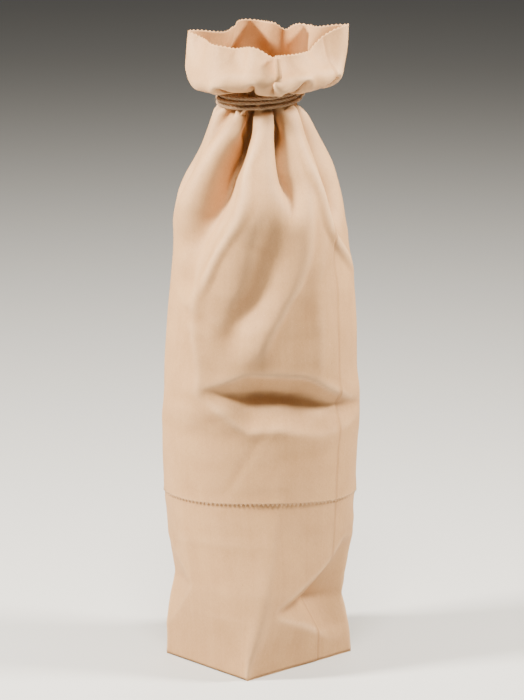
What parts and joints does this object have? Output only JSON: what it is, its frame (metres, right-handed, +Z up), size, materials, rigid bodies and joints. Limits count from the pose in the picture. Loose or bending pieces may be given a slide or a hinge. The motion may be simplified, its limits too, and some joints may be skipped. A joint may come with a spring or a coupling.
{
  "type": "wine gift bag",
  "caption": "Tall kraft paper bottle bag: block-bottom base, glued sleeve with a toothed edge, neck gathered by a jute tie under an open crumpled collar.",
  "frame": {"origin": "middle of the base, on the surface that the bag stands on", "axes": "+Z up along the bag, +X along the wide side of the base, -Y is the wide side that carries the glued lap seams"},
  "size_m": [0.1154, 0.113, 0.42],
  "materials": {
    "kraft_paper": "matte unbleached kraft paper",
    "kraft_flap": "matte unbleached kraft paper, glued flap",
    "board": "plain grey-brown card",
    "jute": "twisted natural jute twine"
  },
  "bodies": {
    "bag": {"base_bag": "kraft_paper", "bottom_flap_front": "kraft_flap", "bottom_flap_back": "kraft_flap", "base_board": "board", "sleeve": "kraft_paper", "twine_wraps": "jute", "twine_knot": "jute"},
    "short_tail": {"twine_tail_short": "jute"},
    "long_tail": {"twine_tail_long": "jute"}
  },
  "joints": [
    {"name": "short_tail_swing", "type": "hinge", "parent": "bag", "child": "short_tail", "pos_m": [0.0305, -0.00053, 0.38], "axis": [0.3584, -0.9336, 0], "range_deg": [0, 60]},
    {"name": "long_tail_swing", "type": "hinge", "parent": "bag", "child": "long_tail", "pos_m": [0.0305, -0.00053, 0.3735], "axis": [0.1736, -0.9848, 0], "range_deg": [0, 60]}
  ]
}
